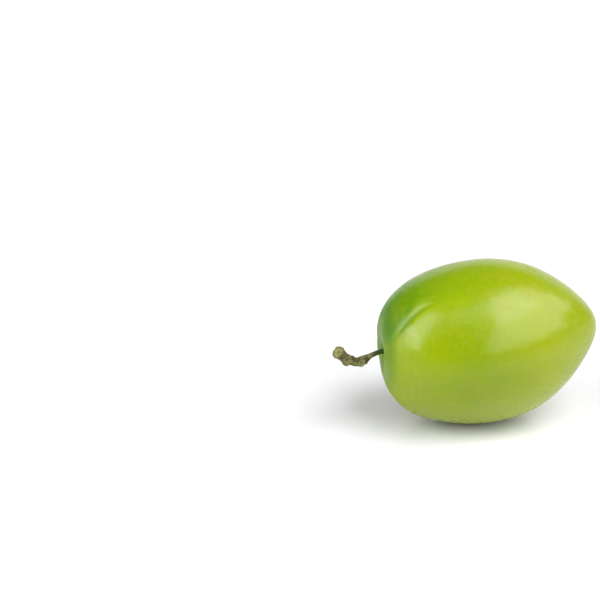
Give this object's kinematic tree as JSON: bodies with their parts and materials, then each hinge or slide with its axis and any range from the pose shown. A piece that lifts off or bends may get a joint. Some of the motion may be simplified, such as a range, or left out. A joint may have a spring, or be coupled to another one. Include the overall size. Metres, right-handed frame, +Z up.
{
  "type": "indian jujube",
  "caption": "Whole green fruit with a blunt stalk end, a rounded pointed tip and a short knobbly stalk, lying on its side.",
  "frame": {"origin": "middle of the small flat spot that the fruit rests on", "axes": "+X along the fruit towards its pointed tip, +Z up from the surface that it rests on"},
  "size_m": [0.0642, 0.0386, 0.0389],
  "materials": {
    "skin": "satin",
    "bark": "matte"
  },
  "bodies": {
    "root": {"fruit": "skin", "stem": "bark"}
  },
  "joints": []
}
